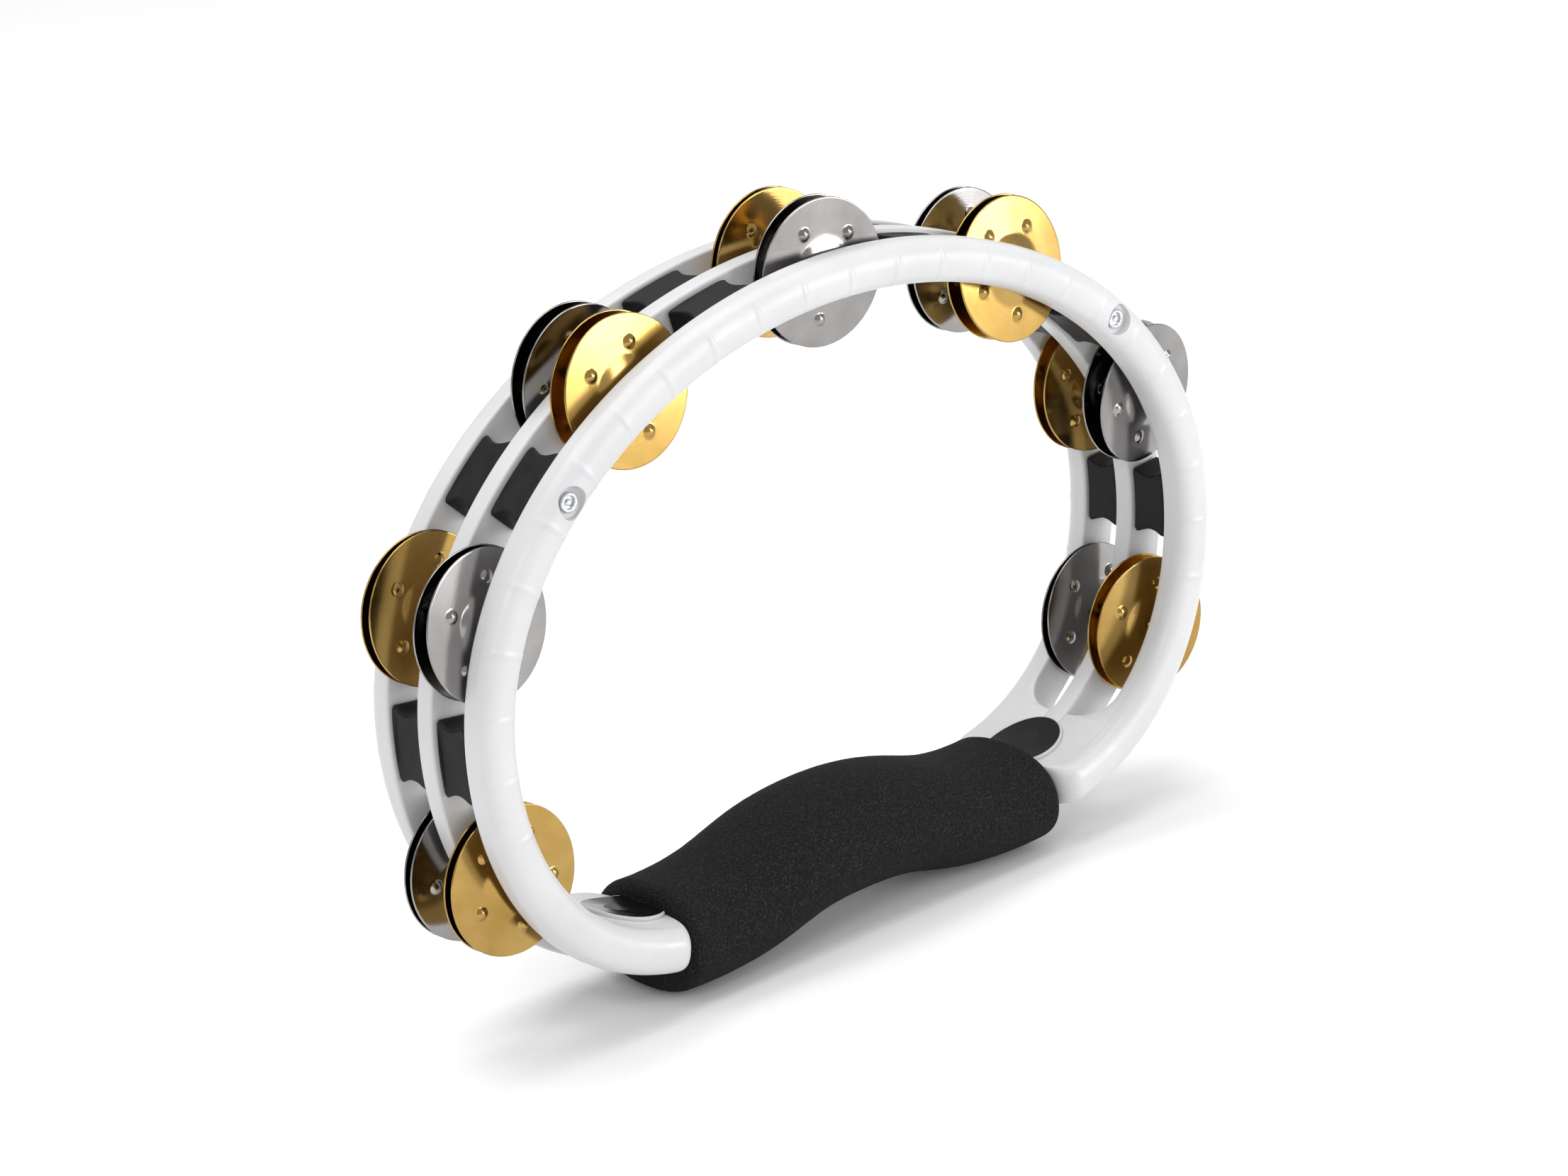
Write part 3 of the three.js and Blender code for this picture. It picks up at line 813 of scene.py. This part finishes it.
def spacer_outline(inset):
    """The spacer seen from outside the ring: (along, across), scooped at both ends."""
    half_length = SPACER_HALF_LENGTH - inset
    half_width = SPACER_HALF_WIDTH - inset
    corner = SPACER_CORNER
    ledge = half_width - corner
    outline = []
    side_places = np.linspace(SPACER_SIDE_SHARE, -SPACER_SIDE_SHARE, SPACER_SIDE_POINTS)
    end_places = np.linspace(-half_width, half_width, SPACER_END_POINTS)
    for end in (1, -1):
        outline += [(-end * half_length * place, -end * half_width) for place in side_places]
        for y in end * end_places:
            scoop = SPACER_SCOOP * (1 - (y / half_width) ** 2)
            past_ledge = max(0.0, abs(y) - ledge)
            round_off = corner - math.sqrt(max(corner**2 - past_ledge**2, 0))
            outline.append((end * (half_length - scoop - round_off), y))
    return outline


def build_spacers():
    """Black blocks between the pairs, rounded on the sides that face in and out of the ring."""
    levels = []
    for angle in np.radians(np.linspace(0, 90, ARC_POINTS)):
        inset = SPACER_ROUNDING * (1 - math.sin(angle))
        outward = SPACER_ROUNDING * (1 - math.cos(angle)) - SPACER_HALF_HEIGHT
        levels.append((inset, outward))
    levels += [(inset, -outward) for inset, outward in reversed(levels)]
    for row, row_y in (("front", -ROW_OFFSET), ("back", ROW_OFFSET)):
        for side_name, side in (("left", -1), ("right", 1)):
            for number, place in enumerate(SPACER_PLACES, 1):
                s = side * place * PAIR_PITCH
                rings = []
                for inset, outward in levels:
                    outline = np.array(spacer_outline(inset))
                    rings.append(on_bar(s + outline[:, 0], outward, row_y + outline[:, 1]))
                points, faces = stack(rings)
                spacer = make(f"spacer_block_{row}_{side_name}_{number}", points, faces, sharp=32)
                node = f"spacer_{row}_{side_name}_{number}"
                finish_piece(spacer, BLACK, [node])


# ---- Badges and grip ----

def build_badges():
    """Glossy ovals, cut off under the foam's end, bevelled at the edge and slightly domed."""
    levels = (
        (0.0, 0.0),
        (0.0, 0.55),
        (0.1, 0.8),
        (BADGE_BEVEL, BADGE_THICKNESS),
        (BADGE_LINE_WIDTH, BADGE_THICKNESS),
        (BADGE_LINE_WIDTH + 0.1, BADGE_THICKNESS),
        (3.0, BADGE_THICKNESS + 0.1),
        (7.0, BADGE_THICKNESS + 0.14),
    )
    rim_points = BADGE_POINTS * sum(shrink <= BADGE_LINE_WIDTH for shrink, rise in levels)
    turns = np.linspace(0, 2 * math.pi, BADGE_POINTS, endpoint=False)
    for side_name, side in (("left", -1), ("right", 1)):
        rings = []
        for shrink, rise in levels:
            cut = SHOULDER_START + BADGE_GAP + min(shrink, BADGE_BEVEL)
            along = np.maximum(BADGE_CENTRE + (BADGE_HALF_LENGTH - shrink) * np.cos(turns), cut)
            across = (BADGE_HALF_WIDTH - shrink) * np.sin(turns)
            s = side * (HALF_LENGTH - along)
            rings.append(on_bar(s, -BADGE_UNDER - rise, across))
        points, faces = stack(rings)
        badge = make(f"oval_badge_{side_name}", points, faces, sharp=50)
        # 1 where the rim line is, for the material
        rim = badge.data.attributes.new("rim", "FLOAT", "POINT")
        rim.data.foreach_set("value", [float(i < rim_points) for i in range(len(points))])
        finish_piece(badge, BADGE, [f"badge_{side_name}"])


def sleeve_ring(s, half_height, half_depth, squareness, drop=0.0):
    """A rounded section of the sleeve at s, with its middle dropped below the centreline."""
    turns = np.linspace(0, 2 * math.pi, GRIP_POINTS, endpoint=False)
    power = 2 / squareness
    across = np.sign(np.cos(turns)) * np.abs(np.cos(turns)) ** power
    along = np.sign(np.sin(turns)) * np.abs(np.sin(turns)) ** power
    return on_bar(s, drop + half_height * across, half_depth * along)


def grip_place(place):
    """Distance from the top for a place along the grip, which is positive to the right."""
    side = 1 if place > 0 else -1
    return side * (HALF_LENGTH - abs(place))


def pebble(ring, centre):
    """Draws a ring's points in a little and unevenly, as a foam skin is."""
    for i, point in enumerate(ring):
        broad = noise.noise(Vector(point * 0.06))
        fine = noise.noise(Vector(point * 0.55))
        inward = 0.12 + 0.07 * broad + 0.05 * fine
        towards = centre - point
        ring[i] = point + towards / np.linalg.norm(towards) * inward


def grip_outside_ring(place):
    """A ring of the sleeve's skin: lower towards the corners, and drawn in at the rounded ends."""
    start = GRIP_HALF_LENGTH - GRIP_END_ROUNDING
    run = min(max(0, abs(place) - start), GRIP_END_ROUNDING)
    draw = GRIP_END_ROUNDING - math.sqrt(GRIP_END_ROUNDING**2 - run**2)
    taper = float(smoothstep(0, CORNER_RUN, abs(place)))
    half_height = GRIP_MIDDLE_HALF_HEIGHT + (GRIP_END_HALF_HEIGHT - GRIP_MIDDLE_HALF_HEIGHT) * taper
    drop = GRIP_MIDDLE_DROP + (GRIP_END_DROP - GRIP_MIDDLE_DROP) * taper
    s = grip_place(place)
    ring = sleeve_ring(s, half_height - draw, GRIP_HALF_DEPTH - draw, GRIP_SQUARENESS, drop)
    pebble(ring, on_bar(s, drop, 0))
    return ring


def grip_bore_ring(place):
    s = grip_place(place)
    return sleeve_ring(s, GRIP_BORE_HALF_HEIGHT, GRIP_BORE_HALF_DEPTH, BORE_SQUARENESS)


def build_grip():
    """The foam sleeve: rounded ends, a slightly uneven skin, and a bore round the frame's core."""
    start = GRIP_HALF_LENGTH - GRIP_END_ROUNDING
    body = np.linspace(0, start, GRIP_BODY_STATIONS)
    nose_turn = np.radians(np.linspace(0, 90, GRIP_NOSE_STATIONS))[1:]
    reach = np.concatenate([body, start + GRIP_END_ROUNDING * np.sin(nose_turn)])
    places = np.concatenate([-reach[::-1], reach[1:]])
    bore_places = np.linspace(places[-1], places[0], GRIP_BORE_STATIONS)
    rings = [grip_outside_ring(place) for place in places]
    rings += [grip_bore_ring(place) for place in bore_places]
    points = np.concatenate(rings)
    points[:, 2] = np.maximum(points[:, 2], 0.0)
    faces = grid_faces(len(rings), GRIP_POINTS, close_rows=True)
    grip = make("foam_sleeve", points, faces, sharp=60)
    finish_piece(grip, FOAM, ["grip"])


# ---- Stage ----

# The camera's angles in degrees, and its distance and target in millimetres
CAMERA_AZIMUTH = -41.77
CAMERA_ELEVATION = 18.49
CAMERA_ROLL = -4.28
CAMERA_DISTANCE = 1158.8
CAMERA_TARGET = (-9.85, 0, 91.5)
CAMERA_LENS = 104.91
CAMERA_SENSOR = 36

# In metres
FLOOR_HALF = 14.0
FLOOR_DROP = 0.0001
LIGHTS_TARGET = (0, 0, 0.09)


def build_camera():
    azimuth = math.radians(CAMERA_AZIMUTH)
    elevation = math.radians(CAMERA_ELEVATION)
    roll = math.radians(CAMERA_ROLL)
    back = Vector((
        math.sin(azimuth) * math.cos(elevation),
        -math.cos(azimuth) * math.cos(elevation),
        math.sin(elevation),
    ))
    level = Vector((math.cos(azimuth), math.sin(azimuth), 0))
    upright = back.cross(level)
    right = math.cos(roll) * level + math.sin(roll) * upright
    up = -math.sin(roll) * level + math.cos(roll) * upright
    data = bpy.data.cameras.new("camera")
    data.lens = CAMERA_LENS
    data.sensor_width = CAMERA_SENSOR
    data.clip_start = 0.05
    data.clip_end = 100
    camera = bpy.data.objects.new("camera", data)
    bpy.context.scene.collection.objects.link(camera)
    matrix = Matrix((right, up, back)).transposed().to_4x4()
    matrix.translation = (Vector(CAMERA_TARGET) + back * CAMERA_DISTANCE) * MM
    camera.matrix_world = matrix
    bpy.context.scene.camera = camera


def build_floor():
    half = FLOOR_HALF
    corners = [(-half, -half, 0), (half, -half, 0), (half, half, 0), (-half, half, 0)]
    mesh = bpy.data.meshes.new("floor")
    mesh.from_pydata(corners, [], [(0, 1, 2, 3)])
    floor = bpy.data.objects.new("floor", mesh)
    bpy.context.scene.collection.objects.link(floor)
    floor.location.z = -FLOOR_DROP
    material, principled = shader("floor", 0.8, specular=0.1)
    place = place_of(material)
    tone = noise_from(material, place, 2.0, detail=2)
    colour = ramp(material, tone, [(0.3, (0.93, 0.93, 0.935)), (0.7, (0.95, 0.95, 0.95))])
    link(material, colour, principled.inputs["Base Color"])
    mesh.materials.append(material)


def area_light(name, place, size, power):
    """A white rectangular light at a place in metres, aimed at the object's middle."""
    data = bpy.data.lights.new(name, "AREA")
    data.shape = "RECTANGLE"
    data.size, data.size_y = size
    data.energy = power
    light = bpy.data.objects.new(name, data)
    light.location = place
    aim = Vector(LIGHTS_TARGET) - Vector(place)
    light.rotation_mode = "QUATERNION"
    light.rotation_quaternion = aim.to_track_quat("-Z", "Y")
    bpy.context.scene.collection.objects.link(light)


def build_lights():
    world = bpy.data.worlds.new("studio")
    world.use_nodes = True
    background = world.node_tree.nodes["Background"]
    background.inputs["Color"].default_value = (0.985, 0.99, 1.0, 1)
    background.inputs["Strength"].default_value = 0.62
    bpy.context.scene.world = world
    area_light("overhead", (-0.1, 0.3, 1.9), (1.8, 1.8), 30)
    area_light("front_softbox", (0.7, -1.4, 0.5), (0.42, 0.95), 7)
    area_light("low_softbox", (0.85, -0.95, 0.17), (0.42, 0.3), 3)
    area_light("left_softbox", (-1.3, -0.8, 1.0), (0.4, 0.5), 4)


build_camera()
build_frame()
build_discs()
build_pins()
build_screws()
build_spacers()
build_badges()
build_grip()
build_floor()
build_lights()
bpy.context.scene.view_settings.view_transform = "Standard"
